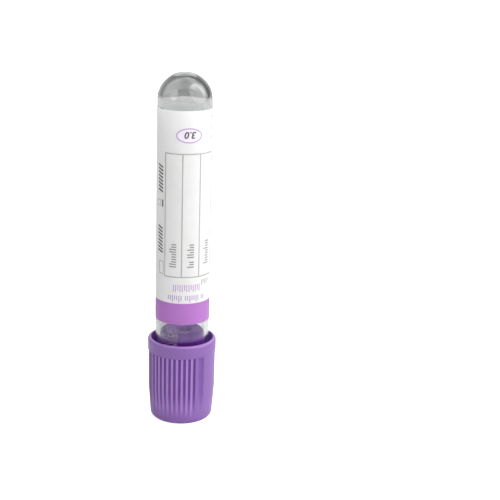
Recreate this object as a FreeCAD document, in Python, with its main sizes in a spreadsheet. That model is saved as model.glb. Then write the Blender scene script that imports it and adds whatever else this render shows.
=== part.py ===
import FreeCAD, Part
import math
import os

import Sketcher

# Evacuated blood collection tube, 13 x 75 mm: a round-bottomed clear tube, a rubber stopper, a fluted
# safety cap over both and a wrapped label. It stands on the flat end of its cap: Z = 0 is that end,
# the common axis is Z, and the round bottom of the tube points up.

# Driving dimensions, in millimetres and degrees: alias, value, what it measures
SIZES = [
    ("tube_diameter", 13.0, "outside of the tube"),
    ("tube_length", 75.0, "tube from its rim to the tip of its round bottom"),
    ("tube_wall", 1.05, "wall of the tube and of its bottom"),
    ("rim_edge", 0.25, "broken edges of the rim"),
    ("mouth_flare", 0.12, "draft of the mouth end, on the radius"),
    ("flare_margin", 0.4, "straight wall starts this far past the mouth of the cap"),
    ("plug_clearance", 0.03, "sealing bands of the stopper to the bore, on the radius"),
    ("plug_relief", 0.25, "plug between its sealing bands, below them on the radius"),
    ("plug_depth", 12.45, "stopper inside the tube"),
    ("plug_end_edge", 0.75, "broken edge of the plug's inner end"),
    ("plug_wall", 3.1, "rubber round the well"),
    ("end_band", 4.2, "height of the sealing band at the inner end"),
    ("middle_band", 1.4, "height of the middle sealing band"),
    ("middle_band_place", 4.2, "middle band above the underside of the flange"),
    ("flange_inset", 0.2, "flange inside the outside of the tube, on the radius"),
    ("flange_height", 5.7, "flange of the stopper"),
    ("flange_edge", 0.4, "broken edge of the flange at the end plate"),
    ("rim_gap", 0.05, "rim of the tube to the flange"),
    ("recess_lip", 0.3, "needle recess inside the hole of the cap, on the radius"),
    ("recess_depth", 3.0, "recess that leads the needle to the septum"),
    ("septum", 4.5, "rubber that the needle pierces"),
    ("well_edge", 0.6, "sloped edge at the floor of the well"),
    ("cap_height", 20.3, "safety cap over all"),
    ("skirt_clearance", 0.48, "skirt to the tube, on the radius"),
    ("skirt_wall", 1.13, "wall of the skirt"),
    ("mouth_lead", 0.6, "mouth opens further by this, on the radius"),
    ("mouth_lead_height", 3.2, "length of that lead-in"),
    ("lip_edge", 0.35, "outer edge of the mouth"),
    ("collar_step", 0.16, "collar over the body, on the radius"),
    ("collar_height", 2.9, "collar round the mouth"),
    ("body_draft", 0.08, "body under the collar over the nose, on the radius"),
    ("nose_height", 7.8, "top of the nose cone"),
    ("nose_draw", 0.6, "nose cone draws in by this on the radius, down to the flat end"),
    ("end_edge", 0.75, "edge of the flat end"),
    ("end_thickness", 1.5, "end plate of the cap"),
    ("needle_hole_radius", 3.75, "hole in the end plate"),
    ("needle_hole_edge", 0.3, "its outer edge"),
    ("hub_wall", 1.2, "hub that leads on from the hole to the stopper"),
    ("hub_height", 2.9, "same"),
    ("seat_gap", 0.1, "stopper to the cap, all round"),
    ("ledge_drop", 0.2, "skirt starts this far before the rim of the tube"),
    ("bead_proud", 0.22, "bead that holds the stopper in the cap, out of the wall"),
    ("bead_land", 0.3, "width of its crest"),
    ("bead_height", 7.3, "middle of the bead"),
    ("flute_count", 10, "flutes in each of the two grips"),
    ("flute_pitch", 8.5714, "angle from flute to flute"),
    ("flute_depth", 0.38, "flute below the top of the nose cone"),
    ("flute_radius", 0.4, "section of a flute"),
    ("wide_flute_angle", 52.2, "shallow flute beside a grip, from the middle of the grip"),
    ("wide_flute_depth", 0.31, "same"),
    ("wide_flute_radius", 1.67, "same"),
    ("cap_turn", -106.5, "middle of the front grip"),
    ("label_film", 0.08, "thickness of the label"),
    ("label_from_cap", 5.3, "bare wall between the cap and the label"),
    ("label_from_dome", 1.68, "bare straight wall between the label and the round bottom"),
    ("label_wrap", 330.0, "angle that the label covers"),
    ("label_turn", -162.0, "middle of the label"),
]

doc = FreeCAD.newDocument("blood_collection_tube")
sheet = doc.addObject("Spreadsheet::Sheet", "Sizes")
for row, (alias, value, meaning) in enumerate(SIZES, start=1):
    sheet.set(f"A{row}", meaning)
    sheet.set(f"B{row}", str(value))
    sheet.setAlias(f"B{row}", alias)
doc.recompute()


class Dim:
    """A size known both as a number and as the expression that a feature is bound to."""

    def __init__(self, text, value):
        self.text = text
        self.value = value

    def joined(self, sign, other, value):
        return Dim(f"({self.text} {sign} {as_dim(other).text})", value)

    def __add__(self, other):
        return self.joined("+", other, self.value + as_dim(other).value)

    def __sub__(self, other):
        return self.joined("-", other, self.value - as_dim(other).value)

    def __mul__(self, other):
        return self.joined("*", other, self.value * as_dim(other).value)

    def __truediv__(self, other):
        return self.joined("/", other, self.value / as_dim(other).value)


def as_dim(number):
    """The number as a Dim, unless it is one."""
    return number if isinstance(number, Dim) else Dim(str(number), number)


class Sheet:
    """Every alias of the spreadsheet as an attribute that holds its Dim."""

    def __init__(self):
        for alias, value, _ in SIZES:
            setattr(self, alias, Dim(f"Sizes.{alias}", value))


size = Sheet()
ZERO = Dim("0", 0.0)

# Heights and radii that several pieces share, from the flat end of the cap upwards
tube_radius = size.tube_diameter / 2
bore_radius = tube_radius - size.tube_wall
hub_end = size.end_thickness + size.hub_height
flange_top = hub_end + size.seat_gap
flange_bottom = flange_top + size.flange_height
rim_height = flange_bottom + size.rim_gap
plug_end = flange_bottom + size.plug_depth
dome_centre = rim_height + size.tube_length - tube_radius
flare_end = size.cap_height + size.flare_margin
flange_radius = tube_radius - size.flange_inset
chamber_radius = flange_radius + size.seat_gap
skirt_radius = tube_radius + size.skirt_clearance
nose_radius = skirt_radius + size.skirt_wall
collar_low = size.cap_height - size.collar_height


def new_body(name):
    """A PartDesign body whose label names its node."""
    body = doc.addObject("PartDesign::Body", name)
    body.Label = name
    return body


def origin_feature(body, role):
    """One of the body's own origin planes or axes."""
    return next(f for f in body.Origin.OriginFeatures if f.Role == role)


def new_sketch(body, name, role):
    """An empty sketch on one of the body's own origin planes."""
    sketch = body.newObject("Sketcher::SketchObject", name)
    sketch.AttachmentSupport = (origin_feature(body, role), "")
    sketch.MapMode = "FlatFace"
    return sketch


def hold(sketch, name, geometry, point, across, up):
    """Tie a point of the sketch to a place given by two sizes from the origin."""
    for kind, suffix, axis, dim in (("DistanceX", "x", -2, across), ("DistanceY", "y", -1, up)):
        if dim is ZERO:
            sketch.addConstraint(Sketcher.Constraint("PointOnObject", geometry, point, axis))
            continue
        rule = Sketcher.Constraint(kind, -1, 1, geometry, point, dim.value)
        sketch.renameConstraint(sketch.addConstraint(rule), f"{name}_{suffix}")
        sketch.setExpression(f"Constraints.{name}_{suffix}", dim.text)


def outline(body, name, corners, domes=()):
    """A closed outline of radius against height, on the XZ plane.

    corners are (name, radius, height). An edge whose first corner is in domes is a quarter circle
    about the corner where its own radius and height meet the axis.
    """
    sketch = new_sketch(body, name, "XZ_Plane")
    leaving, arriving = [], []
    for index, (corner, radius, height) in enumerate(corners):
        _, next_radius, next_height = corners[(index + 1) % len(corners)]
        start = FreeCAD.Vector(radius.value, height.value, 0)
        stop = FreeCAD.Vector(next_radius.value, next_height.value, 0)
        if corner not in domes:
            edge = sketch.addGeometry(Part.LineSegment(start, stop))
            leaving.append((edge, 1))
            arriving.append((edge, 2))
            continue
        low, high = sorted((start, stop), key=lambda point: point.y)
        circle = Part.Circle(FreeCAD.Vector(0, low.y, 0), FreeCAD.Vector(0, 0, 1), low.x)
        edge = sketch.addGeometry(Part.ArcOfCircle(circle, 0, math.pi / 2))
        sketch.addConstraint(Sketcher.Constraint("PointOnObject", edge, 3, -2))
        rising = start.y < stop.y
        leaving.append((edge, 1 if rising else 2))
        arriving.append((edge, 2 if rising else 1))
    for index, (corner, radius, height) in enumerate(corners):
        sketch.addConstraint(Sketcher.Constraint("Coincident", *arriving[index - 1], *leaving[index]))
        hold(sketch, corner, *leaving[index], radius, height)
    return sketch


def turn(body, angle):
    """Turn the whole body about the axis."""
    body.Placement = FreeCAD.Placement(
        FreeCAD.Vector(), FreeCAD.Rotation(FreeCAD.Vector(0, 0, 1), angle.value))
    body.setExpression("Placement.Rotation.Angle", angle.text)


def revolved(body, name, sketch):
    """A full turn of the sketch about the body's axis."""
    feature = body.newObject("PartDesign::Revolution", name)
    feature.Profile = sketch
    feature.ReferenceAxis = (sketch, ["V_Axis"])
    feature.Angle = 360
    doc.recompute()
    return feature


def chamfered(body, name, base, amount, *rings):
    """Circular edges of the base feature broken, each given by its radius and height."""
    names = []
    for radius, height in rings:
        for number, edge in enumerate(base.Shape.Edges, start=1):
            if edge.Degenerated or not isinstance(edge.Curve, Part.Circle):
                continue
            off = abs(edge.Curve.Radius - radius.value) + abs(edge.Curve.Center.z - height.value)
            if off < 1e-4:
                names.append(f"Edge{number}")
    if len(names) != len(rings):
        raise RuntimeError(f"{name}: {len(names)} edges found for {len(rings)} rings")
    feature = body.newObject("PartDesign::Chamfer", name)
    feature.Base = (base, names)
    feature.setExpression("Size", amount.text)
    doc.recompute()
    return feature


def ridge(name, wall, crest, land):
    """Corners of a ridge or a groove with sloped flanks on a wall, from its upper end to its lower one."""
    middle = size.bead_height
    run = land / 2 + size.bead_proud
    return [
        (f"{name}_upper_foot", wall, middle + run),
        (f"{name}_upper_crest", crest, middle + land / 2),
        (f"{name}_lower_crest", crest, middle - land / 2),
        (f"{name}_lower_foot", wall, middle - run),
    ]


def make_tube():
    """Clear tube: straight bore, drafted mouth end, hemispherical bottom of even wall."""
    body = new_body("clear_tube")
    mouth_radius = tube_radius + size.mouth_flare
    section = outline(body, "tube_section", [
        ("rim_outside", mouth_radius, rim_height),
        ("flare_end", tube_radius, flare_end),
        ("dome_outside", tube_radius, dome_centre),
        ("tip_outside", ZERO, dome_centre + tube_radius),
        ("tip_inside", ZERO, dome_centre + bore_radius),
        ("dome_inside", bore_radius, dome_centre),
        ("rim_inside", bore_radius, rim_height),
    ], domes=("dome_outside", "tip_inside"))
    wall = revolved(body, "tube_wall", section)
    chamfered(body, "rim_edges", wall, size.rim_edge, (mouth_radius, rim_height), (bore_radius, rim_height))
    return body


def make_stopper():
    """Rubber stopper: flange with a needle recess and a snap groove, banded plug with a well in its end."""
    body = new_body("rubber_stopper")
    plug_radius = bore_radius - size.plug_clearance
    relief_radius = plug_radius - size.plug_relief
    recess_radius = size.needle_hole_radius - size.recess_lip
    well_radius = plug_radius - size.plug_wall
    recess_floor = flange_top + size.recess_depth
    well_floor = recess_floor + size.septum
    middle_low = flange_bottom + size.middle_band_place
    middle_high = middle_low + size.middle_band
    end_low = plug_end - size.end_band
    groove_land = size.bead_land + size.seat_gap * 2
    groove = ridge("groove", flange_radius, flange_radius - size.bead_proud, groove_land)
    section = outline(body, "stopper_section", [
        ("septum_top", ZERO, recess_floor),
        ("recess_floor", recess_radius, recess_floor),
        ("recess_mouth", recess_radius, flange_top),
        ("flange_top", flange_radius, flange_top),
        *reversed(groove),
        ("flange_bottom", flange_radius, flange_bottom),
        ("plug_root", relief_radius, flange_bottom),
        ("middle_low", relief_radius, middle_low),
        ("middle_rise", plug_radius, middle_low + size.plug_relief),
        ("middle_fall", plug_radius, middle_high - size.plug_relief),
        ("middle_high", relief_radius, middle_high),
        ("end_low", relief_radius, end_low),
        ("end_rise", plug_radius, end_low + size.plug_relief),
        ("plug_end", plug_radius, plug_end),
        ("well_mouth", well_radius, plug_end),
        ("well_floor", well_radius, well_floor),
        ("septum_bottom", ZERO, well_floor),
    ])
    solid = revolved(body, "stopper_solid", section)
    well = chamfered(body, "well_edges", solid, size.well_edge, (well_radius, well_floor))
    end = chamfered(body, "plug_end_edges", well, size.plug_end_edge, (plug_radius, plug_end))
    chamfered(body, "flange_edges", end, size.flange_edge, (flange_radius, flange_top))
    return body


def flute_cut(body, name, angle, depth, section, occurrences, spread):
    """Cut a straight flute on both sides of the cap, from the collar down, and repeat it round the axis.

    The cutter keeps its distance from the axis, so the nose cone, which draws in below it, lets each
    flute run out by itself.
    """
    centre_radius = nose_radius - depth + section
    sketch = new_sketch(body, f"{name}_section", "XY_Plane")
    sketch.AttachmentOffset = FreeCAD.Placement(
        FreeCAD.Vector(0, 0, collar_low.value),
        FreeCAD.Rotation(FreeCAD.Vector(0, 0, 1), angle.value))
    sketch.setExpression("AttachmentOffset.Base.z", collar_low.text)
    sketch.setExpression("AttachmentOffset.Rotation.Angle", angle.text)
    for side, label in ((1, "front"), (-1, "back")):
        centre = FreeCAD.Vector(side * centre_radius.value, 0, 0)
        circle = sketch.addGeometry(Part.Circle(centre, FreeCAD.Vector(0, 0, 1), section.value))
        sketch.addConstraint(Sketcher.Constraint("PointOnObject", circle, 3, -1))
        ends = (-1, 1, circle, 3) if side > 0 else (circle, 3, -1, 1)
        reach = Sketcher.Constraint("DistanceX", *ends, centre_radius.value)
        sketch.renameConstraint(sketch.addConstraint(reach), f"{label}_reach")
        sketch.setExpression(f"Constraints.{label}_reach", centre_radius.text)
        width = Sketcher.Constraint("Radius", circle, section.value)
        sketch.renameConstraint(sketch.addConstraint(width), f"{label}_section")
        sketch.setExpression(f"Constraints.{label}_section", section.text)
    before = body.Shape.Volume
    cut = body.newObject("PartDesign::Pocket", f"{name}_cut")
    cut.Profile = sketch
    cut.Type = "ThroughAll"
    doc.recompute()
    if not cut.Shape.Volume < before:
        raise RuntimeError(f"{name}: the pocket points away from the cap")
    pattern = body.newObject("PartDesign::PolarPattern", f"{name}_pattern")
    pattern.Originals = [cut]
    pattern.Axis = (origin_feature(body, "Z_Axis"), [""])
    pattern.setExpression("Angle", spread.text)
    pattern.setExpression("Occurrences", as_dim(occurrences).text)
    body.Tip = pattern
    doc.recompute()


def make_cap():
    """Safety cap: cone-nosed shell with a collar, two fluted grips, and a chamber for the stopper."""
    body = new_body("safety_cap")
    body_radius = nose_radius + size.body_draft
    collar_radius = body_radius + size.collar_step
    mouth_radius = skirt_radius + size.mouth_lead
    end_radius = nose_radius - size.nose_draw
    hub_radius = size.needle_hole_radius + size.hub_wall
    skirt_low = rim_height - size.ledge_drop
    section = outline(body, "cap_section", [
        ("needle_hole", size.needle_hole_radius, ZERO),
        ("flat_end", end_radius, ZERO),
        ("nose_top", nose_radius, size.nose_height),
        ("body_top", body_radius, collar_low),
        ("collar_low", collar_radius, collar_low),
        ("lip_outside", collar_radius, size.cap_height),
        ("lip_inside", mouth_radius, size.cap_height),
        ("skirt_end", skirt_radius, size.cap_height - size.mouth_lead_height),
        ("skirt_root", skirt_radius, skirt_low),
        ("ledge", chamber_radius, skirt_low - (skirt_radius - chamber_radius)),
        *ridge("bead", chamber_radius, chamber_radius - size.bead_proud, size.bead_land),
        ("chamber_floor", chamber_radius, size.end_thickness),
        ("hub_foot", hub_radius, size.end_thickness),
        ("hub_outside", hub_radius, hub_end),
        ("hub_inside", size.needle_hole_radius, hub_end),
    ])
    shell = revolved(body, "cap_shell", section)
    lip = chamfered(body, "lip_edges", shell, size.lip_edge, (collar_radius, size.cap_height))
    end = chamfered(body, "end_edges", lip, size.end_edge, (end_radius, ZERO))
    chamfered(body, "needle_hole_edges", end, size.needle_hole_edge, (size.needle_hole_radius, ZERO))
    grip_half = size.flute_pitch * (size.flute_count - 1) / 2
    flute_cut(body, "flute", ZERO - grip_half, size.flute_depth, size.flute_radius,
              size.flute_count, grip_half * 2)
    flute_cut(body, "wide_flute", ZERO - size.wide_flute_angle, size.wide_flute_depth,
              size.wide_flute_radius, 2, size.wide_flute_angle * 2)
    turn(body, size.cap_turn)
    return body


def make_label():
    """Label film round the tube, with a clear strip left open at its side to read the fill by."""
    body = new_body("wrap_label")
    label_start = size.cap_height + size.label_from_cap
    label_end = dome_centre - size.label_from_dome
    section = outline(body, "label_section", [
        ("inner_start", tube_radius, label_start),
        ("outer_start", tube_radius + size.label_film, label_start),
        ("outer_end", tube_radius + size.label_film, label_end),
        ("inner_end", tube_radius, label_end),
    ])
    film = revolved(body, "label_wrap", section)
    film.Midplane = True
    film.setExpression("Angle", size.label_wrap.text)
    turn(body, size.label_turn)
    return body


pieces = [make_cap(), make_stopper(), make_tube(), make_label()]
doc.recompute()

for item in doc.Objects:
    if {"Invalid", "Error"} & set(item.State):
        raise RuntimeError(f"{item.Label} failed: {item.State}")
os.makedirs("parts", exist_ok=True)
for piece in pieces:
    shape = piece.Shape
    if shape.isNull() or not shape.isValid() or len(shape.Solids) != 1:
        raise RuntimeError(f"{piece.Label} isn't one valid solid")
    shape.exportStep(f"parts/{piece.Label}.step")
    box = shape.BoundBox
    print(f"{piece.Label}: {shape.Volume:.1f} mm3, Z {box.ZMin:.2f} to {box.ZMax:.2f} mm")
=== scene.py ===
"""Evacuated blood collection tube, 13 x 75 mm, standing on the flat end of its safety cap.

Four moulded or wrapped pieces share one axis: a clear PET tube with its round bottom up, a rubber stopper
in its mouth, a fluted polyethylene cap over both and a film label. Print and dried additive lie on them.
Sizes are in millimetres, angles in degrees from the front, positive to the right.
"""
from __future__ import annotations

import logging
import math
import random
from dataclasses import dataclass, field
from enum import Enum
from typing import Sequence

import bmesh
import bpy
from mathutils import Matrix, Vector, noise


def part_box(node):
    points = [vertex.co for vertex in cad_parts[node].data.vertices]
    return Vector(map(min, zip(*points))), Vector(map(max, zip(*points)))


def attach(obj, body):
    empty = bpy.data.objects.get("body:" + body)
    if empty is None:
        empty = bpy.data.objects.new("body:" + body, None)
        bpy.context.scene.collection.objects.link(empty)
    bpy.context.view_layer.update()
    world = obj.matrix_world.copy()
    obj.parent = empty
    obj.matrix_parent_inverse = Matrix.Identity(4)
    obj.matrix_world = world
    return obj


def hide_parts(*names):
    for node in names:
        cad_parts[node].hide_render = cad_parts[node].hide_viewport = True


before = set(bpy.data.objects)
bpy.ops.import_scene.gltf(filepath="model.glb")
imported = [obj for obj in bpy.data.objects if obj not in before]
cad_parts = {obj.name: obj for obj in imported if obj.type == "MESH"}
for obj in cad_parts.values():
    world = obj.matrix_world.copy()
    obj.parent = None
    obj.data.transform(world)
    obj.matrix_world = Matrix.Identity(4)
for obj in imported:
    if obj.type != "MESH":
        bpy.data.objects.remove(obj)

LOG = logging.getLogger("collection_tube")
MM = 0.001
FULL_TURN = 360.0

Node = bpy.types.Node
Object = bpy.types.Object
Shape = bmesh.types.BMesh
Socket = bpy.types.NodeSocket
Tree = bpy.types.NodeTree

# Mesh layers that paint light and shade into a finish: -1 for a painted highlight on a ridge or the lip to
# +1 for painted shade in a groove, 1 for painted light inside the skirt (where it also deepens the
# subsurface), and 1 for painted light in the stopper's well, less on its end face and below 0 for painted
# shade on the edge round it
FLUTE_LAYER = "flute_depth"
SKIRT_LAYER = "inside_skirt"
PLUG_END_LAYER = "plug_end"


class Body(Enum):
    """The moving bodies of the frame."""

    CAP = "cap"
    STOPPER = "stopper"
    TUBE = "tube"


class Slot(Enum):
    """The material slots of the record."""

    CAP = "cap_plastic"
    STOPPER = "stopper_rubber"
    TUBE = "tube_plastic"
    LABEL = "label_film"


# ---- Materials ----


def linear(code: str) -> tuple[float, float, float, float]:
    """Turn an sRGB hex value into a linear colour.

    Args:
        code: Six hex digits, red first.

    Returns:
        Linear red, green and blue, and an alpha of 1.
    """
    channels = [int(code[i:i + 2], 16) / 255 for i in (0, 2, 4)]
    parts = [c / 12.92 if c <= 0.04045 else ((c + 0.055) / 1.055) ** 2.4 for c in channels]
    return (parts[0], parts[1], parts[2], 1.0)


def add_node(tree: Tree, kind: str, inputs: dict | None = None, **settings) -> Node:
    """Add a node with its settings and its links.

    Args:
        tree: The node tree that gets it.
        kind: Its bl_idname without the leading ShaderNode.
        inputs: Socket name or index, to a value or to what feeds it: an output socket, or a node for
            its first output.
        **settings: Properties of the node itself.

    Returns:
        The new node.
    """
    made = tree.nodes.new("ShaderNode" + kind)
    for name, value in settings.items():
        setattr(made, name, value)
    for key, value in (inputs or {}).items():
        source = value.outputs[0] if isinstance(value, Node) else value
        if isinstance(source, Socket):
            tree.links.new(source, made.inputs[key])
        else:
            made.inputs[key].default_value = source
    return made


@dataclass(frozen=True)
class Finish:
    """A surface finish, named for its material and for how it was made."""

    name: str
    colour: str

    def material(self) -> bpy.types.Material:
        """Make the material of this finish, once.

        Returns:
            The material.
        """
        found = bpy.data.materials.get(self.name)
        if found is not None:
            return found
        made = bpy.data.materials.new(self.name)
        made.use_nodes = True
        tree = made.node_tree
        tree.nodes.clear()
        add_node(tree, "OutputMaterial", {"Surface": self.shader(tree)})
        made.diffuse_color = linear(self.colour)
        return made

    def shader(self, tree: Tree) -> Node:
        """Build the shader of this finish; each finish has its own.

        Args:
            tree: The material's node tree.

        Returns:
            The shader's last node.
        """
        raise NotImplementedError

    def mottled(self, tree: Tree, other: str, grain_mm: float) -> Socket:
        """Return the colour as it varies softly to another sRGB hex value, in patches of that width."""
        return add_node(tree, "Mix", {
            "Factor": self.pattern(tree, grain_mm), 6: linear(self.colour), 7: linear(other)},
            data_type="RGBA").outputs[2]

    @staticmethod
    def pattern(tree: Tree, grain_mm: float, detail: float = 3.0) -> Socket:
        """Return the value of a noise over the piece's own coordinates, with grains of that width."""
        place = add_node(tree, "TexCoord")
        return add_node(tree, "TexNoise", {
            "Vector": place.outputs["Object"], "Scale": 1.0 / (grain_mm * MM),
            "Detail": detail}).outputs["Fac"]

    @staticmethod
    def tinted(tree: Tree, base: Socket, layer: str, tint: str,
               start: float = 0.0, stop: float = 1.0) -> Socket:
        """Blend a second colour in by a layer of the mesh.

        Args:
            tree: The node tree.
            base: The colour where the layer is at its start value.
            layer: Name of the layer.
            tint: The colour at its stop value, as sRGB hex.
            start: Value of the layer that shows the base alone.
            stop: Value of the layer that shows the tint alone.

        Returns:
            The colour socket.
        """
        value = add_node(tree, "Attribute", attribute_name=layer)
        share = add_node(tree, "MapRange", {
            "Value": value.outputs["Fac"], "From Min": start, "From Max": stop})
        return add_node(tree, "Mix", {
            "Factor": share, 6: base, 7: linear(tint)}, data_type="RGBA").outputs[2]


@dataclass(frozen=True)
class MouldedPolyethylene(Finish):
    """Injection-moulded polyethylene of the cap: a waxy satin that lets a little light in."""

    shade: str = "7C569C"
    # Painted shade in the grooves
    painted_groove_shade: str = "6E4694"
    # Painted highlight on the crests and the lip
    ridge: str = "976FB7"
    # Painted light inside the skirt
    glow: str = "A060E4"

    def shader(self, tree: Tree) -> Node:
        """Satin purple with the fine spark texture of the mould, painted shade in the flutes, a painted
        highlight on the crests and the lip, and painted light inside the skirt.
        """
        gloss = add_node(tree, "MapRange", {
            "Value": self.pattern(tree, 1.4), "To Min": 0.34, "To Max": 0.46})
        plain = self.mottled(tree, self.shade, 2.2)
        # Painted highlight on the crests and the lip
        highlighted = self.tinted(tree, plain, FLUTE_LAYER, self.ridge, stop=-1.0)
        # Painted shade in the grooves, by their depth
        fluted = self.tinted(tree, highlighted, FLUTE_LAYER, self.painted_groove_shade, start=0.05)
        # Painted light inside the skirt
        colour = self.tinted(tree, fluted, SKIRT_LAYER, self.glow)
        inside = add_node(tree, "Attribute", attribute_name=SKIRT_LAYER)
        depth = add_node(tree, "MapRange", {"Value": inside.outputs["Fac"], "To Min": 0.1, "To Max": 0.9})
        reach = add_node(tree, "MapRange", {
            "Value": inside.outputs["Fac"], "To Min": 0.3 * MM, "To Max": 1.2 * MM})
        return add_node(tree, "BsdfPrincipled", {
            "Base Color": colour,
            "Roughness": gloss,
            "IOR": 1.51,
            "Subsurface Weight": depth,
            "Subsurface Radius": (1.0, 0.55, 1.0),
            "Subsurface Scale": reach,
            "Normal": add_node(tree, "Bump", {
                "Height": self.pattern(tree, 0.12, 2.0), "Distance": 0.006 * MM})})


@dataclass(frozen=True)
class MouldedRubber(Finish):
    """Compression-moulded butyl rubber of the stopper: matt, with a faint bloom."""

    bloom: str = "6A2898"
    # Painted light on the end face and in the well, and painted shade on the rounded edge round the end
    painted_end_light: str = "9C60CC"
    painted_edge_shade: str = "481A68"

    def shader(self, tree: Tree) -> Node:
        """Matt violet, cloudy where the release film lies on it, with painted light on its end face and in
        the well and painted shade on the edge round the end.
        """
        plain = self.mottled(tree, self.bloom, 0.9)
        # Painted light on the end face and in the well
        painted_lit = self.tinted(tree, plain, PLUG_END_LAYER, self.painted_end_light)
        return add_node(tree, "BsdfPrincipled", {
            # Painted shade on the edge round the end
            "Base Color": self.tinted(tree, painted_lit, PLUG_END_LAYER, self.painted_edge_shade, stop=-1.0),
            "Roughness": 0.85,
            "IOR": 1.5,
            "Specular IOR Level": 0.1,
            "Normal": add_node(tree, "Bump", {
                "Height": self.pattern(tree, 0.15, 2.0), "Distance": 0.008 * MM})})


@dataclass(frozen=True)
class MouldedPet(Finish):
    """Injection-moulded clear PET of the tube: glossy and nearly water-clear."""

    passed: float = 0.5

    def shader(self, tree: Tree) -> Node:
        """Clear plastic, polished by the mould, that lets part of the lamps' light straight through."""
        clear = add_node(tree, "BsdfPrincipled", {
            "Base Color": linear(self.colour),
            "Roughness": 0.015,
            "IOR": 1.57,
            "Transmission Weight": 1.0})
        path = add_node(tree, "LightPath")
        share = add_node(tree, "Math", {
            0: path.outputs["Is Shadow Ray"], 1: self.passed}, operation="MULTIPLY")
        straight = add_node(tree, "BsdfTransparent")
        return add_node(tree, "MixShader", {0: share, 1: clear, 2: straight})


@dataclass(frozen=True)
class CoatedFilm(Finish):
    """Top-coated white polypropylene film of the label: smooth, half-matt, and not quite opaque."""

    def shader(self, tree: Tree) -> Node:
        """White film that glows faintly from the side away from the light."""
        return add_node(tree, "BsdfPrincipled", {
            "Base Color": self.mottled(tree, "F8F8F6", 1.8),
            "Roughness": 0.5,
            "IOR": 1.49,
            "Subsurface Weight": 0.7,
            "Subsurface Radius": (1.0, 1.0, 1.0),
            "Subsurface Scale": 0.5 * MM,
            "Normal": add_node(tree, "Bump", {
                "Height": self.pattern(tree, 0.3, 2.0), "Distance": 0.002 * MM})})


@dataclass(frozen=True)
class PrintedInk(Finish):
    """Flexographic ink: a thin even layer, a little uneven in density where the plate pressed."""

    worn: str

    def shader(self, tree: Tree) -> Node:
        """Half-matt ink, mottled at the grain of the plate."""
        return add_node(tree, "BsdfPrincipled", {
            "Base Color": self.mottled(tree, self.worn, 0.35),
            "Roughness": 0.45,
            "IOR": 1.5,
            "Subsurface Weight": 0.3,
            "Subsurface Radius": (1.0, 1.0, 1.0),
            "Subsurface Scale": 0.1 * MM})


@dataclass(frozen=True)
class DriedSalt(Finish):
    """Spray-dried additive: a frosted crust of fine crystals in small drops."""

    def shader(self, tree: Tree) -> Node:
        """Pale crust that scatters the light."""
        return add_node(tree, "BsdfPrincipled", {
            "Base Color": linear(self.colour),
            "Roughness": 0.35,
            "IOR": 1.5})


@dataclass(frozen=True)
class StudioFloor(Finish):
    """Matt white studio board, which shows at the strength of paper white and keeps the soft shadow."""

    glow: float = 0.76
    mirrored: float = 0.04

    def shader(self, tree: Tree) -> Node:
        """Diffuse board plus a glow that only the eye and, more faintly, gloss and clear plastic see."""
        seen = seen_directly(tree, self.mirrored)
        strength = add_node(tree, "Math", {0: seen, 1: self.glow}, operation="MULTIPLY")
        board = add_node(tree, "BsdfDiffuse", {"Color": linear(self.colour)})
        light = add_node(tree, "Emission", {"Strength": strength})
        return add_node(tree, "AddShader", {0: board, 1: light})


def seen_directly(tree: Tree, mirrored: float = 1.0) -> Node:
    """Tell the rays that look at a surface from those that carry its light to the object.

    Args:
        tree: The node tree.
        mirrored: The value for rays of gloss and for rays through clear plastic.

    Returns:
        A node that gives 1 for rays of the eye, `mirrored` for gloss and clear plastic, and 0 for the rest.
    """
    path = add_node(tree, "LightPath")
    bent = add_node(tree, "Math", {
        0: path.outputs["Is Glossy Ray"], 1: path.outputs["Is Transmission Ray"]}, operation="MAXIMUM")
    weighed = add_node(tree, "Math", {0: bent, 1: mirrored}, operation="MULTIPLY")
    return add_node(tree, "Math", {0: path.outputs["Is Camera Ray"], 1: weighed}, operation="MAXIMUM")


CAP_PLASTIC = MouldedPolyethylene("polyethylene_injection_moulded", "7C579D")
STOPPER_RUBBER = MouldedRubber("butyl_rubber_moulded", "5C1C88")
TUBE_PLASTIC = MouldedPet("pet_injection_moulded", "F4F6F5")
LABEL_FILM = CoatedFilm("polypropylene_film_coated", "F1F2F1")
BAND_INK = PrintedInk("ink_violet_flexo", "A569B6", "A064B0")
MAUVE_INK = PrintedInk("ink_mauve_flexo", "A982BE", "B798C8")
GREY_INK = PrintedInk("ink_grey_flexo", "9C9C9A", "ABABA9")
DARK_GREY_INK = PrintedInk("ink_grey_dark_flexo", "6A6A6A", "787878")
BLACK_INK = PrintedInk("ink_black_flexo", "3B3A3A", "4C4B4B")
LILAC_INK = PrintedInk("ink_lilac_tint", "E6DCEE", "ECE4F1")
ADDITIVE = DriedSalt("additive_spray_dried", "F0E0F8")
FLOOR_BOARD = StudioFloor("studio_board_matt", "E6E6E6")


# ---- Mesh tools ----


def polar(radius: float, angle: float, height: float) -> Vector:
    """Return the point at a radius and a height in millimetres, at an angle from the front."""
    turn = math.radians(angle)
    return Vector((radius * math.sin(turn), -radius * math.cos(turn), height)) * MM


def signed_turn(angle: float) -> float:
    """Return an angle in degrees as a turn of at most half a circle to either side."""
    return (angle + FULL_TURN / 2) % FULL_TURN - FULL_TURN / 2


def link(made: Object) -> Object:
    """Put an object in the scene and return it."""
    bpy.context.scene.collection.objects.link(made)
    return made


def mesh_object(shape: Shape, name: str, finish: Finish) -> Object:
    """Turn a bmesh into an object.

    Args:
        shape: The mesh, in place. It is freed.
        name: The object's name.
        finish: Its surface.

    Returns:
        The object.
    """
    mesh = bpy.data.meshes.new(name)
    shape.to_mesh(mesh)
    shape.free()
    mesh.materials.append(finish.material())
    return link(bpy.data.objects.new(name, mesh))


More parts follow.
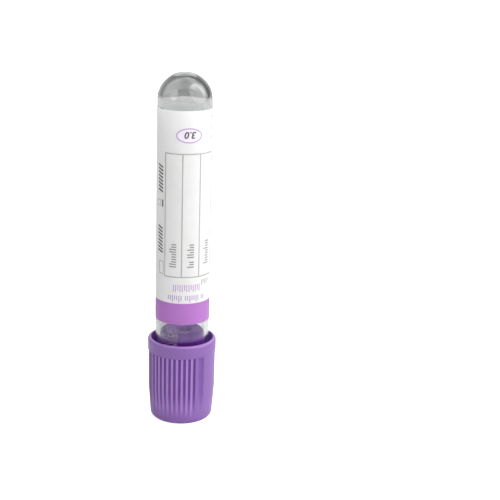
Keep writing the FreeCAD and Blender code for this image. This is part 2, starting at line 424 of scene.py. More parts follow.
def finish_object(shape: Shape, name: str, finish: Finish, body: Body,
                  stands_for: Sequence[str] = (), crease: float = 35.0) -> Object:
    """Turn a bmesh into a finished piece that rides on its body.

    Args:
        shape: The mesh, in metres and in place. It is freed.
        name: The piece's name.
        finish: Its surface.
        body: The body it moves with.
        stands_for: Frame nodes that it replaces.
        crease: Edges sharper than this, in degrees, stay crisp.

    Returns:
        The piece's object.
    """
    bmesh.ops.recalc_face_normals(shape, faces=shape.faces)
    piece = mesh_object(shape, name, finish)
    piece.data.polygons.foreach_set("use_smooth", [True] * len(piece.data.polygons))
    piece.data.set_sharp_from_angle(angle=math.radians(crease))
    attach(piece, body.value)
    if stands_for:
        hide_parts(*stands_for)
    LOG.info("%s: %d faces", name, len(piece.data.polygons))
    return piece


@dataclass(frozen=True)
class Corner:
    """A corner of a turned section.

    Attributes:
        radius: Distance from the axis.
        height: Height over the floor.
        rounding: Radius of the rounded corner, 0 for a crisp one.
        segments: Steps of that rounding.
        pitch: Rows on the edge after it are at most this far apart, 0 for one row.
    """

    radius: float
    height: float
    rounding: float = 0.0
    segments: int = 4
    pitch: float = 0.0


def section_face(corners: Sequence[Corner]) -> Shape:
    """Draw a closed section and round its corners.

    Args:
        corners: The corners in order.

    Returns:
        A bmesh that holds the one face, in the plane through the axis.
    """
    shape = bmesh.new()
    places = [Vector((corner.radius, 0, corner.height)) * MM for corner in corners]
    made = [shape.verts.new(place) for place in places]
    shape.faces.new(made)
    for index, corner in enumerate(corners):
        if not corner.rounding:
            continue
        before = (places[index - 1] - places[index]).normalized()
        after = (places[(index + 1) % len(places)] - places[index]).normalized()
        reach = corner.rounding / math.tan(before.angle(after) / 2)
        bmesh.ops.bevel(shape, geom=[made[index]], offset=reach * MM, offset_type="OFFSET",
                        segments=corner.segments, profile=0.5, affect="VERTICES", material=-1)
    for index, corner in enumerate(corners):
        if not corner.pitch:
            continue
        start, stop = places[index], places[(index + 1) % len(places)]
        line = (stop - start).normalized()
        for edge in list(shape.edges):
            offsets = [vert.co - start for vert in edge.verts]
            off_line = max((offset - line * offset.dot(line)).length for offset in offsets)
            cuts = math.ceil(edge.calc_length() / (corner.pitch * MM)) - 1
            if off_line < 1e-4 * MM and cuts > 0:
                bmesh.ops.subdivide_edges(shape, edges=[edge], cuts=cuts)
    return shape


def ridge(foot: float, top: float, start: float, stop: float, rounding: float = 0.0) -> list[Corner]:
    """Draw a ridge or a groove with sides at 45 degrees.

    Args:
        foot: Radius of the wall that carries it.
        top: Radius of its land.
        start: Height where it leaves the wall.
        stop: Height where it meets the wall again.
        rounding: Radius of its corners; 0 rounds only the land's, by 0.1.

    Returns:
        Its four corners.
    """
    slope = math.copysign(top - foot, stop - start)
    return [Corner(foot, start, rounding), Corner(top, start + slope, rounding or 0.1),
            Corner(top, stop - slope, rounding or 0.1), Corner(foot, stop, rounding)]


def add_square(shape: Shape, place: Matrix) -> list[bmesh.types.BMVert]:
    """Add a square with sides of 1, carried to its place, and return its corners."""
    corners = bmesh.ops.create_grid(shape, x_segments=1, y_segments=1, size=0.5)["verts"]
    bmesh.ops.transform(shape, matrix=place, verts=corners)
    return corners


def swept(shape: Shape, turn: float, steps: int, closed: bool) -> None:
    """Sweep a section round the axis by a turn in degrees; a closed one merges its end with its start."""
    geometry = shape.verts[:] + shape.edges[:] + shape.faces[:]
    bmesh.ops.spin(shape, geom=geometry, cent=(0, 0, 0), axis=(0, 0, 1), dvec=(0, 0, 0),
                   angle=math.radians(turn), steps=steps, use_merge=closed, use_normal_flip=False,
                   use_duplicate=False)


def turned(corners: Sequence[Corner], steps: int) -> Shape:
    """Turn a closed section a full turn about the axis.

    Args:
        corners: The section's corners in order.
        steps: Columns round the axis.

    Returns:
        The closed shape.
    """
    shape = section_face(corners)
    bmesh.ops.delete(shape, geom=shape.faces[:], context="FACES_ONLY")
    on_axis = [edge for edge in shape.edges if max(vert.co.x for vert in edge.verts) < 1e-6 * MM]
    bmesh.ops.delete(shape, geom=on_axis, context="EDGES")
    swept(shape, FULL_TURN, steps, closed=True)
    bmesh.ops.remove_doubles(shape, verts=shape.verts, dist=1e-5 * MM)
    return shape


# ---- Sub-assemblies ----


@dataclass
class SafetyCap:
    """Fluted safety cap: cone nose, two grips of straight flutes, collar, and a chamber for the stopper."""

    end_radius: float = 7.51
    end_rounding: float = 1.35
    nose_radius: float = 8.11
    nose_height: float = 7.8
    body_radius: float = 8.19
    body_draft: float = 0.005
    collar_height: float = 2.9
    mouth_radius: float = 7.58
    lead_in: float = 3.2
    skirt_radius: float = 6.98
    ledge_height: float = 10.05
    chamber_radius: float = 6.4
    end_thickness: float = 1.5
    hub_radius: float = 4.95
    hub_end: float = 4.4
    needle_hole_radius: float = 3.75
    bead_height: float = 7.3
    bead_proud: float = 0.22
    bead_reach: float = 0.37
    grip_angles: tuple[float, float] = (-16.5, 163.5)
    flutes: int = 10
    flute_pitch: float = 60 / 7
    flute_depth: float = 0.42
    flute_radius: float = 0.31
    wide_flute_angle: float = 52.2
    wide_flute_depth: float = 0.4
    wide_flute_radius: float = 1.0
    flute_stop: float = 0.15
    flute_tip: float = 0.25
    tip_pitch: float = 0.05
    fluted_radii: tuple[float, float] = (6.91, 8.22)
    crest_softness: float = 0.035
    crest_reach: float = 0.21
    inside_box: float = 0.001
    corner_hold: float = 0.15
    lip_rounding: float = 0.6
    lip_lift: float = 0.32
    lip_slope: float = 0.12
    tolerance: float = 0.05
    # Height where the painted highlight on the crests starts, and the height over which it fades in
    highlight_foot: float = 1.8
    highlight_fade: float = 2.6
    columns: int = 588

    def section(self, radius: float, height: float) -> list[Corner]:
        """Return the section of the shell.

        Args:
            radius: Outside of the collar.
            height: Height of the cap.

        Returns:
            The corners, from the needle hole outwards and back through the inside.
        """
        collar = height - self.collar_height
        stop = collar - self.flute_stop
        lip = height + self.lip_lift
        ledge_foot = self.ledge_height - (self.skirt_radius - self.chamber_radius)
        return [
            Corner(self.needle_hole_radius, 0, 0.3),
            Corner(self.end_radius, 0, self.end_rounding, 8, pitch=0.22),
            Corner(self.nose_radius, self.nose_height, pitch=0.8),
            Corner(self.body_radius - self.body_draft, stop - self.flute_tip - self.tip_pitch,
                   pitch=self.tip_pitch),
            Corner(self.body_radius, collar, 0.04, 2),
            Corner(radius, collar, 0.1, 3),
            Corner(radius, lip - self.lip_rounding - self.corner_hold),
            Corner(radius, lip, self.lip_rounding, 8),
            Corner(self.mouth_radius, lip - self.lip_slope, 0.1, 4),
            Corner(self.skirt_radius, height - self.lead_in),
            Corner(self.skirt_radius, self.ledge_height, 0.1),
            Corner(self.chamber_radius, ledge_foot, 0.1),
            *ridge(self.chamber_radius, self.chamber_radius - self.bead_proud,
                   self.bead_height + self.bead_reach, self.bead_height - self.bead_reach),
            Corner(self.chamber_radius, self.end_thickness, 0.2),
            Corner(self.hub_radius, self.end_thickness, 0.2),
            Corner(self.hub_radius, self.hub_end, 0.15),
            Corner(self.needle_hole_radius, self.hub_end, 0.15),
        ]

    def flute_floor(self, angle: float) -> float:
        """Tell how deep the cutters of the flutes reach.

        Args:
            angle: An angle from the front.

        Returns:
            How far from the axis they leave the plastic at that angle.
        """
        floor = math.inf
        last = (self.flutes - 1) / 2
        for grip in self.grip_angles:
            off = signed_turn(angle - grip)
            nearest = max(-last, min(last, round(off / self.flute_pitch - 0.5) + 0.5))
            cutters = [(nearest * self.flute_pitch, self.flute_depth, self.flute_radius)]
            cutters += [(side * self.wide_flute_angle, self.wide_flute_depth, self.wide_flute_radius)
                        for side in (-1, 1)]
            for centre, depth, section in cutters:
                away = math.radians(off - centre)
                reach = self.nose_radius - depth + section
                if math.cos(away) < 0 or abs(reach * math.sin(away)) >= section:
                    continue
                rest = math.sqrt(section ** 2 - (reach * math.sin(away)) ** 2)
                floor = min(floor, reach * math.cos(away) - rest)
        return floor

    def on_grip(self, angle: float) -> bool:
        """Tell whether an angle lies between the outer flutes of a grip."""
        nearest = min(abs(signed_turn(angle - grip)) for grip in self.grip_angles)
        return nearest < (self.flutes - 1) / 2 * self.flute_pitch

    def cut_flutes(self, shape: Shape, collar: float) -> None:
        """Draw the outside in to the flutes, with soft crests; the cone nose lets them run out. Mark
        painted shade in the grooves, a painted highlight on the crests and the lip, and the inside of the
        skirt for painted light and deeper subsurface.

        Args:
            shape: The turned shell.
            collar: Height of the collar's lower side, in millimetres.
        """
        soft = self.crest_softness
        depth = shape.verts.layers.float.new(FLUTE_LAYER)
        skirt = shape.verts.layers.float.new(SKIRT_LAYER)
        for vert in shape.verts:
            height = vert.co.z / MM
            radius = vert.co.xy.length / MM
            # Inside of the skirt: painted light, and deeper subsurface in the finish
            if height > self.hub_end and radius < self.mouth_radius - self.tolerance:
                vert[skirt] = 1.0
            # Painted highlight on the lip
            if height > collar + self.collar_height - 2 * self.tolerance and radius > self.mouth_radius:
                vert[depth] = -1.0
            top = collar - self.flute_stop - height
            if top < 0 or not self.fluted_radii[0] < radius < self.fluted_radii[1]:
                continue
            angle = math.degrees(math.atan2(vert.co.x, -vert.co.y))
            floor = self.flute_floor(angle)
            # Painted highlight on the crests of a grip, fading in above the nose
            if self.on_grip(angle):
                vert[depth] = -min(1.0, max(0.0, (height - self.highlight_foot) / self.highlight_fade))
            if top < self.flute_tip:
                floor += self.flute_depth * (1 - math.sqrt(1 - (1 - top / self.flute_tip) ** 2))
            if floor > radius + self.crest_reach:
                continue
            low = min(radius, floor)
            apart = abs(radius - floor)
            target = low - soft * math.log(1 + math.exp(-apart / soft))
            vert.co.xy *= target / radius
            # Painted shade in the groove, by how deep it is cut
            vert[depth] = min(1.0, (radius - target) / self.flute_depth)

    def build(self) -> Object:
        """Turn the shell, cut its flutes and dress it.

        Returns:
            The cap.
        """
        low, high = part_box("safety_cap")
        radius, height = min(-low.x, high.x) / MM - self.inside_box, high.z / MM
        shape = turned(self.section(radius, height), self.columns)
        self.cut_flutes(shape, height - self.collar_height)
        return finish_object(shape, "cap_shell", CAP_PLASTIC, Body.CAP, ("safety_cap",))


@dataclass
class RubberStopper:
    """Rubber stopper: flange in the cap's chamber, banded plug in the bore, recess and well on the axis."""

    flange_radius: float = 6.3
    flange_height: float = 5.7
    plug_radius: float = 5.42
    relief: float = 0.25
    recess_radius: float = 3.45
    recess_depth: float = 3.0
    septum: float = 4.5
    well_radius: float = 2.32
    bead_height: float = 7.3
    groove_depth: float = 0.22
    groove_reach: float = 0.47
    middle_band_place: float = 4.2
    middle_band: float = 1.4
    end_band: float = 4.2
    end_rounding: float = 0.8
    well_edge: float = 0.5
    tolerance: float = 0.01
    # Layer values for painted light in the well and on the end face, and for painted shade on the edge
    # round it
    painted_end_tints: tuple[float, float, float] = (1.0, 0.4, -0.3)
    columns: int = 144

    def section(self, low: float, high: float) -> list[Corner]:
        """Draw the section, from the needle recess outwards.

        Args:
            low: Height of the end in the cap.
            high: Height of the end in the tube.

        Returns:
            Its corners.
        """
        under = low + self.flange_height
        thin = self.plug_radius - self.relief
        middle = under + self.middle_band_place
        end = high - self.end_band
        well_floor = low + self.recess_depth + self.septum
        return [
            Corner(0, low + self.recess_depth),
            Corner(self.recess_radius, low + self.recess_depth, 0.5),
            Corner(self.recess_radius, low, 0.25),
            Corner(self.flange_radius, low, 0.4),
            *ridge(self.flange_radius, self.flange_radius - self.groove_depth,
                   self.bead_height - self.groove_reach, self.bead_height + self.groove_reach),
            Corner(self.flange_radius, under, 0.2),
            Corner(thin, under, 0.3),
            *ridge(thin, self.plug_radius, middle, middle + self.middle_band, 0.2),
            Corner(thin, end, 0.2),
            Corner(self.plug_radius, end + self.relief, 0.2),
            Corner(self.plug_radius, high, self.end_rounding, 8),
            Corner(self.well_radius, high, 0.35, 5),
            Corner(self.well_radius, well_floor, 1.0, 6),
            Corner(0, well_floor),
        ]

    def build(self) -> Object:
        """Turn the stopper, mark painted light on its end face and in its well and painted shade on the
        edge round the end, and dress it.

        Returns:
            The stopper.
        """
        low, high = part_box("rubber_stopper")
        shape = turned(self.section(low.z / MM, high.z / MM), self.columns)
        end = shape.verts.layers.float.new(PLUG_END_LAYER)
        in_well, on_end, at_edge = self.painted_end_tints
        for vert in shape.verts:
            below = (high.z - vert.co.z) / MM
            radius = vert.co.xy.length / MM
            # Painted light in the well and on the end face, painted shade on the edge round it
            if radius < self.well_radius + self.well_edge and vert.co.z > low.z + self.flange_height * MM:
                vert[end] = in_well
            elif below < self.tolerance:
                vert[end] = on_end
            elif below < self.end_rounding and radius > self.recess_radius:
                vert[end] = at_edge
        return finish_object(shape, "stopper_rubber", STOPPER_RUBBER, Body.STOPPER,
                             ("rubber_stopper",))


@dataclass
class ClearTube:
    """Clear tube with a hemispherical bottom and a slightly drafted mouth end."""

    radius: float = 6.5
    wall: float = 1.05
    mouth_flare: float = 0.12
    flare_end: float = 20.7
    waviness: float = 0.04
    wave_length: float = 4.5
    wave_rise: float = 2.0
    wave_start: tuple[float, float, float] = (3.1, 7.7, 1.9)
    tolerance: float = 0.05
    inside_box: float = 0.001
    rim_edge: float = 0.3
    hold: float = 0.15
    columns: int = 192
    dome_rows: int = 40

    def section(self, low: float, high: float) -> list[Corner]:
        """Draw the section of the wall, with rows that keep the roundings' shading off the straight.

        Args:
            low: Height of the rim.
            high: Height of the tip of the round bottom.

        Returns:
            Its corners, from the tip down the outside and back up the bore.
        """
        bore = self.radius - self.wall
        straight_end = high - self.radius - self.hold
        mouth_end = low + self.rim_edge + self.hold
        return [
            Corner(0, high),
            Corner(self.radius, high, self.radius * 0.99999, self.dome_rows),
            Corner(self.radius, straight_end),
            Corner(self.radius, self.flare_end + self.hold),
            Corner(self.radius, self.flare_end),
            Corner(self.radius + self.mouth_flare, mouth_end),
            Corner(self.radius + self.mouth_flare, low, self.rim_edge),
            Corner(bore, low, self.rim_edge),
            Corner(bore, mouth_end),
            Corner(bore, straight_end),
            Corner(bore, high - self.wall, bore * 0.99999, self.dome_rows),
            Corner(0, high - self.wall),
        ]

    def settle_inside(self, shape: Shape, dome_centre: float) -> None:
        """Give the inside of the round bottom the slow unevenness of a moulded wall.

        Args:
            shape: The turned wall.
            dome_centre: Height of the dome's centre, in millimetres.
        """
        centre = Vector((0, 0, dome_centre * MM))
        inner = (self.radius - self.wall + self.tolerance) * MM
        for vert in shape.verts:
            ray = vert.co - centre
            if ray.z <= 0 or ray.length > inner:
                continue
            rise = min(1.0, ray.z / (self.wave_rise * MM))
            wave = noise.noise(vert.co / (self.wave_length * MM) + Vector(self.wave_start))
            vert.co += ray.normalized() * wave * rise * self.waviness * MM

    def build(self) -> Object:
        """Turn the tube and dress it.

        Returns:
            The tube.
        """
        low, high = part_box("clear_tube")
        tip = high.z / MM - self.inside_box
        shape = turned(self.section(low.z / MM, tip), self.columns)
        self.settle_inside(shape, tip - self.radius)
        return finish_object(shape, "tube_wall", TUBE_PLASTIC, Body.TUBE, ("clear_tube",))


@dataclass
class DriedAdditive:
    """Spray-dried additive: small flat drops on the bore, dense on one side of the mouth end."""

    bore: float = 5.45
    seed: int = 41
    dense_count: int = 440
    tries: int = 3
    dense_angles: tuple[float, float] = (-88.0, -10.9)
    dense_heights: tuple[float, float] = (18.6, 25.0)
    sparse_count: int = 90
    sparse_heights: tuple[float, float] = (17.8, 33.0)
    sparse_scale: float = 0.8
    drop_radius: tuple[float, float] = (0.04, 0.11)
    drop_height: float = 0.022
    lift: float = 0.002

    def drop(self, shape: Shape, radius: float, angle: float, height: float) -> None:
        """Set one flat drop on the bore.

        Args:
            shape: The bmesh that gets it.
            radius: The drop's radius in millimetres.
            angle: Its angle from the front.
            height: Its height in millimetres.
        """
        made = bmesh.ops.create_icosphere(shape, subdivisions=1, radius=radius * MM)
        flatten = Matrix.Diagonal((1, self.drop_height / (2 * radius), 1, 1))
        turn = Matrix.Rotation(math.radians(angle), 4, "Z")
        seat = Matrix.Translation(polar(self.bore - self.drop_height / 2 - self.lift, angle, height))
        bmesh.ops.transform(shape, matrix=seat @ turn @ flatten, verts=made["verts"])

    def spot(self, dice: random.Random) -> Vector:
        """Return a place on the unrolled bore where it is dense, in millimetres."""
        angle = dice.uniform(*self.dense_angles)
        return Vector((math.radians(angle) * self.bore, dice.uniform(*self.dense_heights)))

    def build(self) -> Object:
        """Scatter the drops, each well clear of the others, and dress them.

        Returns:
            The drops.
        """
        dice = random.Random(self.seed)
        shape = bmesh.new()
        taken: list[Vector] = []
        for _ in range(self.dense_count):
            free = max((self.spot(dice) for _ in range(self.tries)),
                       key=lambda spot: min(((spot - other).length for other in taken), default=math.inf))
            taken.append(free)
            self.drop(shape, dice.uniform(*self.drop_radius), math.degrees(free.x / self.bore), free.y)
        for _ in range(self.sparse_count):
            self.drop(shape, dice.uniform(*self.drop_radius) * self.sparse_scale,
                      dice.uniform(0, FULL_TURN), dice.uniform(*self.sparse_heights))
        return finish_object(shape, "additive_drops", ADDITIVE, Body.TUBE, crease=180.0)


@dataclass
class Print:
    """Flat printed shapes of one ink, in millimetres on the unrolled label."""

    name: str
    ink: Finish
    shape: Shape = field(default_factory=bmesh.new)
    strip: float = 0.4
    boldness: float = 0.03
    lean: float = 0.2

    def bar(self, across: float, height: float, width: float, length: float, slope: float = 0.0) -> None:
        """Print a bar.

        Args:
            across: Its middle, along the unrolled label.
            height: Its middle, over the floor.
            width: Its size along the unrolled label.
            length: Its size along the tube.
            slope: How far its right end lies below its left end.
        """
        place = Matrix.Translation((across, height, 0)) @ Matrix.Diagonal((width, length, 1, 1))
        for vert in add_square(self.shape, place):
            vert.co.y -= slope * (vert.co.x - across) / width

    def frame(self, across: float, height: float, width: float, length: float, line: float) -> None:
        """Print the outline of a box.

        Args:
            across: Its middle, along the unrolled label.
            height: Its middle, over the floor.
            width: Its size along the unrolled label.
            length: Its size along the tube.
            line: Width of its lines.
        """
        for side in (-0.5, 0.5):
            self.bar(across + side * width, height, line, length + line)
            self.bar(across, height + side * length, width - line, line)

    def oval(self, across: float, height: float, half_width: float, half_height: float,
             line: float = 0.0) -> None:
        """Print an oval.

        Args:
            across: Its middle, along the unrolled label.
            height: Its middle, over the floor.
            half_width: Half its size along the unrolled label.
            half_height: Half its size along the tube.
            line: Width of its outline, 0 for a filled oval.
        """
        made = bmesh.ops.create_circle(self.shape, cap_ends=True, segments=72, radius=1.0)
        place = Matrix.Translation((across, height, 0)) @ Matrix.Diagonal((half_width, half_height, 1, 1))
        bmesh.ops.transform(self.shape, matrix=place, verts=made["verts"])
        if line:
            face = made["verts"][0].link_faces[0]
            bmesh.ops.inset_region(self.shape, faces=[face], thickness=line, use_boundary=True,
                                   use_even_offset=True)
            bmesh.ops.delete(self.shape, geom=[face], context="FACES_ONLY")

    def numeral(self, text: str, across: float, height: float, size: float) -> None:
        """Print a plain numeral, upside down, so that it reads with the round bottom down.

        Args:
            text: The numeral.
            across: Its middle, along the unrolled label.
            height: Its middle, over the floor.
            size: Its type size.
        """
        curve = bpy.data.curves.new("numeral", "FONT")
        curve.body = text
        curve.size = size
        curve.offset = size * self.boldness
        curve.shear = self.lean
        curve.align_x = curve.align_y = "CENTER"
        curve.resolution_u = 4
        holder = link(bpy.data.objects.new("numeral", curve))
        graph = bpy.context.evaluated_depsgraph_get()
        mesh = bpy.data.meshes.new_from_object(holder.evaluated_get(graph))
        mesh.transform(Matrix.Translation((across, height, 0)) @ Matrix.Rotation(math.pi, 4, "Z"))
        self.shape.from_mesh(mesh)
        bpy.data.objects.remove(holder)
        bpy.data.meshes.remove(mesh)
        bpy.data.curves.remove(curve)

    def build(self, radius: float, proud: float) -> Object:
        """Wrap the shapes round the label, give them a thickness and dress them.

        Args:
            radius: Outside of the label.
            proud: How far the ink stands out of it.

        Returns:
            The print's object.
        """
        shape = self.shape
        low = math.floor(min(vert.co.x for vert in shape.verts) / self.strip) + 1
        high = math.ceil(max(vert.co.x for vert in shape.verts) / self.strip)
        for line in range(low, high):
            geometry = shape.verts[:] + shape.edges[:] + shape.faces[:]
            bmesh.ops.bisect_plane(shape, geom=geometry, plane_co=(line * self.strip, 0, 0),
                                   plane_no=(1, 0, 0))
        raised = bmesh.ops.extrude_face_region(shape, geom=shape.faces[:], use_keep_orig=True)
        for item in raised["geom"]:
            if isinstance(item, bmesh.types.BMVert):
                item.co.z += proud * 2
        for vert in shape.verts:
            turn = math.degrees(vert.co.x / radius)
            vert.co = polar(radius - proud + vert.co.z, turn, vert.co.y)
        return finish_object(shape, self.name, self.ink, Body.TUBE)


class Way(Enum):
    """Which way a row of ticks runs."""

    UP_THE_TUBE = "up the tube"
    ROUND_THE_TUBE = "round the tube"


@dataclass(frozen=True)
class TickRow:
    """A row of plain ticks of mixed lengths, where a form has its small print.

    Attributes:
        way: Which way the row runs.
        angle: Angle of its foot line, or of its left end where it runs round the tube.
        height: Height of its lower end, or of its foot line where it runs round the tube.
        length: Length of the row in millimetres.
        size: Longest tick.
        pitch: Distance from tick to tick.
        stroke: Width of a tick.
        slope: How far one end of a tick lies below the other.
        beat: Lengths of the ticks in turn, as shares of the longest; 0 is a space.
    """

    way: Way
    angle: float
    height: float
    length: float
    size: float
    pitch: float
    stroke: float
    slope: float = 0.0
    beat: tuple[float, ...] = (1.0, 1.0, 0.7, 0.65, 0.65, 0.7)

    def draw(self, target: Print, per_degree: float) -> None:
        """Print the row.

        Args:
            target: The ink that prints it.
            per_degree: Millimetres along the unrolled label for one degree.
        """
        foot = self.angle * per_degree
        for index in range(int(self.length / self.pitch)):
            tick = self.size * self.beat[index % len(self.beat)]
            along = (index + 0.5) * self.pitch
            if not tick:
                continue
            if self.way is Way.UP_THE_TUBE:
                target.bar(foot - tick / 2, self.height + along, tick, self.stroke, slope=self.slope)
            else:
                target.bar(foot + along, self.height - tick / 2, self.stroke, tick)


@dataclass(frozen=True)
class Box:
    """A small box of the print, by its middle: its angle and height, width and length, and its line.

    A line of 0 fills it.
    """

    angle: float
    height: float
    width: float
    length: float
    line: float = 0.0

    def draw(self, target: Print, per_degree: float) -> None:
        """Print the box.

        Args:
            target: The ink that prints it.
            per_degree: Millimetres along the unrolled label for one degree.
        """
        place = (self.angle * per_degree, self.height, self.width, self.length)
        if self.line:
            target.frame(*place, self.line)
        else:
            target.bar(*place)


@dataclass
class WrapLabel:
    """Film label with a violet band, a ruled table, an oval and rows of plain ticks."""

    film: float = 0.08
    lift: float = 0.012
    wrap: float = 330.0
    middle: float = -72.0
    columns: int = 165
    band_height: float = 5.33
    ink: float = 0.012
    tint_share: float = 0.6
    black_share: float = 1.4
    band_inset: float = 0.02
    table_angles: tuple[float, ...] = (-40.9, -3.0, 34.8, 74.0)
    table_low: float = 37.47
    table_high: float = 67.08
    rule_width: float = 0.26
    oval_angle: float = 10.0
    oval_height: float = 71.4
    oval_half_width: float = 3.12
    oval_half_height: float = 1.75
    oval_line: float = 0.26
    tint_inset: float = 0.1
    volume: str = "3.0"
    volume_offset: tuple[float, float] = (0.3, 0.2)
    volume_size: float = 2.2
    black_print: tuple[TickRow | Box, ...] = (
        TickRow(Way.UP_THE_TUBE, -47.6, 57.6, 6.7, 1.75, 0.83, 0.42, slope=0.55, beat=(1.0,)),
        TickRow(Way.UP_THE_TUBE, -47.6, 42.9, 6.7, 1.75, 0.83, 0.42, slope=0.55, beat=(1.0,)),
        Box(-48.3, 55.0, 0.45, 1.7),
    )
    dark_print: tuple[TickRow, ...] = (
        TickRow(Way.UP_THE_TUBE, -14.5, 39.7, 6.4, 1.75, 0.6, 0.26),
        TickRow(Way.UP_THE_TUBE, 22.8, 39.7, 6.5, 1.65, 0.6, 0.26,
                beat=(1.0, 0.65, 0.7, 0.0, 1.0, 1.0, 0.6)),
        TickRow(Way.UP_THE_TUBE, 62.0, 40.2, 6.4, 1.75, 0.6, 0.24, beat=(1.0, 0.6, 0.65, 0.75, 0.6, 0.65)),
    )
    faint_print: tuple[TickRow | Box, ...] = (
        TickRow(Way.ROUND_THE_TUBE, 41, 36.6, 3.0, 1.35, 0.55, 0.2, beat=(1.0, 0.6, 1.0)),
        TickRow(Way.UP_THE_TUBE, 77, 70.2, 5.8, 1.3, 0.42, 0.18, beat=(1.0, 0.6, 0.6, 0.0, 0.7, 0.6)),
        Box(-61, 55.0, 1.1, 1.4, 0.13),
        Box(-51.5, 39.3, 1.5, 3.0, 0.18),
    )
    mauve_print: tuple[TickRow, ...] = (
        TickRow(Way.ROUND_THE_TUBE, -21.5, 35.6, 6.9, 1.7, 0.53, 0.2, beat=(1.0, 1.0, 0.8)),
        TickRow(Way.ROUND_THE_TUBE, -33.0, 32.9, 9.7, 1.6, 0.53, 0.2,
                beat=(0.7, 0.7, 1.0, 0.7, 0.7, 1.0, 0.8, 0.0)),
    )

    def film_piece(self, radius: float, low: float, high: float) -> Object:
        """Sweep the film's section round the tube and dress it.

        Args:
            radius: Outside of the film.
            low: Height of its lower edge.
            high: Height of its upper edge.

        Returns:
            The film's object.
        """
        inner = radius - self.film + self.lift
        shape = section_face([Corner(inner, low), Corner(radius, low), Corner(radius, high),
                              Corner(inner, high)])
        start = Matrix.Rotation(math.radians(self.middle - self.wrap / 2 - 90), 4, "Z")
        bmesh.ops.transform(shape, matrix=start, verts=shape.verts)
        swept(shape, self.wrap, self.columns, closed=False)
        return finish_object(shape, "label_film", LABEL_FILM, Body.TUBE, ("wrap_label",))

    def build(self) -> list[Object]:
        """Make the film and its print.

        Returns:
            The film, then one piece for each print.
        """
        low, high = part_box("wrap_label")
        radius = high.x / MM
        low, high = low.z / MM, high.z / MM
        per_degree = math.radians(1) * radius
        pieces = [self.film_piece(radius, low, high)]
        band = Print("label_band", BAND_INK)
        band.bar(self.middle * per_degree, low + self.band_height / 2,
                 self.wrap * per_degree - self.band_inset, self.band_height - self.band_inset)
        grey = Print("label_rules", GREY_INK)
        left, right = (self.table_angles[i] * per_degree for i in (0, -1))
        for angle in self.table_angles:
            grey.bar(angle * per_degree, (self.table_low + self.table_high) / 2, self.rule_width,
                     self.table_high - self.table_low)
        for edge in (self.table_low, self.table_high):
            grey.bar((left + right) / 2, edge, right - left + self.rule_width, self.rule_width)
        outline = Print("label_oval", MAUVE_INK)
        middle = self.oval_angle * per_degree
        outline.oval(middle, self.oval_height, self.oval_half_width, self.oval_half_height, self.oval_line)
        tint = Print("label_oval_tint", LILAC_INK)
        tint.oval(middle, self.oval_height, self.oval_half_width - self.tint_inset,
                  self.oval_half_height - self.tint_inset)
        black = Print("label_black_print", BLACK_INK)
        aside, above = self.volume_offset
        black.numeral(self.volume, middle + aside, self.oval_height + above, self.volume_size)
        small = Print("label_small_print", DARK_GREY_INK)
        faint = Print("label_faint_print", GREY_INK)
        for target, items in ((black, self.black_print), (small, self.dark_print),
                              (faint, self.faint_print), (outline, self.mauve_print)):
            for item in items:
                item.draw(target, per_degree)
        pieces += [item.build(radius, self.ink) for item in (band, grey, outline, small, faint)]
        pieces.append(tint.build(radius, self.ink * self.tint_share))
        pieces.append(black.build(radius, self.ink * self.black_share))
        return pieces


# ---- Studio ----


@dataclass(frozen=True)
class Viewpoint:
    """Camera in front of the tube and a little above it, with the tube left of the middle."""

    lens: float = 85.08
    distance: float = 274.0
    height: float = 120.5
    pitch: float = 15.91
    roll: float = 0.76
    aside: float = -3.238

    def build(self) -> None:
        """Make the camera and set it as the scene's."""
        data = bpy.data.cameras.new("camera")
        data.lens = self.lens
        data.sensor_width = 36.0
        data.clip_start = 0.01
        data.clip_end = 50.0
        camera = link(bpy.data.objects.new("camera", data))
        camera.matrix_world = (
            Matrix.Translation(Vector((0, -self.distance, self.height)) * MM)
            @ Matrix.Rotation(math.radians(90 - self.pitch), 4, "X")
            @ Matrix.Rotation(math.radians(self.roll), 4, "Z")
            @ Matrix.Rotation(math.radians(self.aside), 4, "Y"))
        bpy.context.scene.camera = camera


@dataclass(frozen=True)
class ScrimCard(Finish):
    """Studio card in soft greys, which clear plastic bends into view and shows as a darker edge.

    Attributes:
        middle: Its grey nearest the middle of the studio.
        fade: Distances from the middle, in metres, between which that turns into its own grey.
    """

    middle: str
    fade: tuple[float, float] = (0.0, 1.0)

    def shader(self, tree: Tree) -> Node:
        """Greys that fade sideways, whatever light falls on the card; light on its way passes through."""
        place = add_node(tree, "TexCoord")
        axes = add_node(tree, "SeparateXYZ", {0: place.outputs["Object"]})
        aside = add_node(tree, "Math", {0: axes.outputs["X"]}, operation="ABSOLUTE")
        share = add_node(tree, "MapRange", {
            "Value": aside, "From Min": self.fade[0], "From Max": self.fade[1]},
            interpolation_type="SMOOTHSTEP")
        grey = add_node(tree, "Mix", {
            "Factor": share, 6: linear(self.middle), 7: linear(self.colour)}, data_type="RGBA")
        path = add_node(tree, "LightPath")
        seen = add_node(tree, "Emission", {"Color": grey.outputs[2], "Strength": 1.0})
        clear = add_node(tree, "BsdfTransparent")
        return add_node(tree, "MixShader", {
            0: path.outputs["Diffuse Depth"], 1: seen, 2: clear})


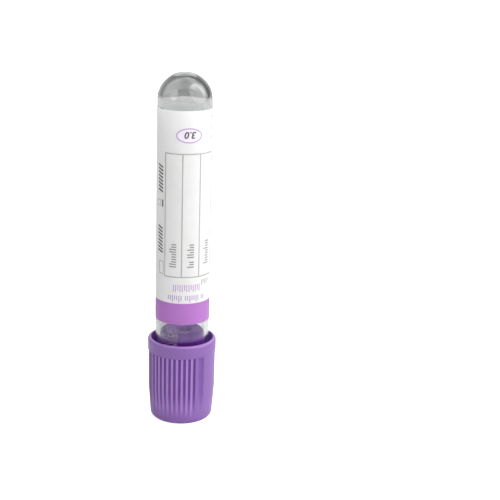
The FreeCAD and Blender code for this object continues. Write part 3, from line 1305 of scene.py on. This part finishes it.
@dataclass(frozen=True)
class Card:
    """A card that stands in the studio for clear plastic only.

    Attributes:
        finish: Its grey.
        place: Its middle, in metres.
        width: Its width in metres.
        height: Its height in metres, or its length where it lies.
        lies: Whether it lies on the floor.
    """

    finish: ScrimCard
    place: tuple[float, float, float]
    width: float
    height: float
    lies: bool = False

    def build(self, turn: float = 0.0) -> None:
        """Set up the card, facing the tube, where it neither shades nor lights anything.

        Args:
            turn: How far round the tube it is carried first, in degrees.
        """
        toward = Vector((0, 0, 1)) if self.lies else -Vector((self.place[0], self.place[1], 0))
        facing = toward.to_track_quat("Z", "Y").to_matrix().to_4x4()
        place = (Matrix.Rotation(math.radians(turn), 4, "Z") @ Matrix.Translation(self.place) @ facing
                 @ Matrix.Diagonal((self.width, self.height, 1, 1)))
        shape = bmesh.new()
        add_square(shape, place)
        card = mesh_object(shape, self.finish.name, self.finish)
        card.visible_camera = card.visible_diffuse = card.visible_shadow = False
        card.visible_glossy = False


@dataclass(frozen=True)
class Lamp:
    """A round soft lamp aimed at the middle of the tube."""

    name: str
    place: tuple[float, float, float]
    size: float
    power: float
    aim: tuple[float, float, float] = (0, 0, 0.04)
    mirrored: bool = True

    def build(self) -> None:
        """Hang the lamp."""
        data = bpy.data.lights.new(self.name, "AREA")
        data.shape = "DISK"
        data.size = self.size
        data.energy = self.power
        lamp = link(bpy.data.objects.new(self.name, data))
        toward = Vector(self.aim) - Vector(self.place)
        lamp.matrix_world = (Matrix.Translation(self.place)
                             @ toward.to_track_quat("-Z", "Y").to_matrix().to_4x4())
        lamp.visible_glossy = self.mirrored


@dataclass
class Studio:
    """Pale floor, white surroundings, soft lamps, cards and the camera."""

    floor_width: float = 24.0
    ambient: float = 0.4
    card_turns: tuple[float, ...] = (0.0, 205.0)
    view: Viewpoint = field(default_factory=Viewpoint)
    lamps: tuple[Lamp, ...] = (
        Lamp("key_lamp", (0.6, -0.28, 0.44), 1.15, 8.4),
        Lamp("front_lamp", (0.1, -1.0, 0.5), 1.2, 2.8),
        Lamp("fill_lamp", (-0.55, -0.46, 0.35), 0.6, 1.28),
        Lamp("back_lamp", (0.15, 0.75, 0.7), 0.8, 4.0, mirrored=False),
        Lamp("apex_lamp", (0.0, 0.75, 0.72), 0.7, 2.2),
    )
    cards: tuple[Card, ...] = (
        Card(ScrimCard("card_pale_floor", "D2D2D2", "D2D2D2"), (0, 0.4, 0.001), 1.2, 0.4, lies=True),
        Card(ScrimCard("card_near_left", "C9C9C9", "C9C9C9"), (-0.16, 0.08, 0.001), 0.32, 0.24, lies=True),
        Card(ScrimCard("card_near_right", "FAFAFA", "FAFAFA"), (0.16, 0.08, 0.001), 0.32, 0.24, lies=True),
        Card(ScrimCard("card_grey_back", "B2B2B2", "9C9C9C", (0.0, 0.06)), (0, 0.57, 0.26), 0.7, 0.52),
        Card(ScrimCard("card_grey_foot", "969696", "848484", (0.0, 0.06)), (0, 0.56, 0.02), 0.7, 0.03),
        Card(ScrimCard("card_dark_right", "303030", "A4A4A4", (0.13, 0.21)),
             (0.29, 0.33, 0.32), 0.42, 0.52),
        Card(ScrimCard("card_grey_left", "787878", "A8A8A8", (0.13, 0.26)),
             (-0.29, 0.33, 0.32), 0.42, 0.52),
        Card(ScrimCard("card_grey_top", "626262", "626262"), (0, 0.36, 0.39), 0.4, 0.5),
    )

    def floor(self) -> None:
        """Lay the floor."""
        shape = bmesh.new()
        add_square(shape, Matrix.Diagonal((self.floor_width, self.floor_width, 1, 1)))
        mesh_object(shape, "studio_floor", FLOOR_BOARD)

    def surroundings(self) -> None:
        """Light the scene evenly from a world that looks paper white."""
        world = bpy.data.worlds.new("studio")
        world.use_nodes = True
        tree = world.node_tree
        tree.nodes.clear()
        strength = add_node(tree, "MapRange", {
            "Value": seen_directly(tree), "To Min": self.ambient, "To Max": 1.0})
        light = add_node(tree, "Background", {"Strength": strength})
        add_node(tree, "OutputWorld", {"Surface": light})
        bpy.context.scene.world = world

    def build(self) -> None:
        """Set up the studio."""
        self.view.build()
        self.floor()
        self.surroundings()
        for lamp in self.lamps:
            lamp.build()
        for turn in self.card_turns:
            for card in self.cards:
                card.build(turn)
        bpy.context.scene.view_settings.view_transform = "Standard"


def main() -> None:
    """Build the tube and its studio."""
    logging.basicConfig(level=logging.INFO, format="%(name)s: %(message)s")
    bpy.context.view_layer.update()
    Studio().build()
    for part in (ClearTube(), RubberStopper(), SafetyCap(), DriedAdditive(), WrapLabel()):
        made = part.build()
        names = [piece.name for piece in (made if isinstance(made, list) else [made])]
        LOG.info("%s made: %s", type(part).__name__, ", ".join(names))


if __name__ == "__main__":
    main()
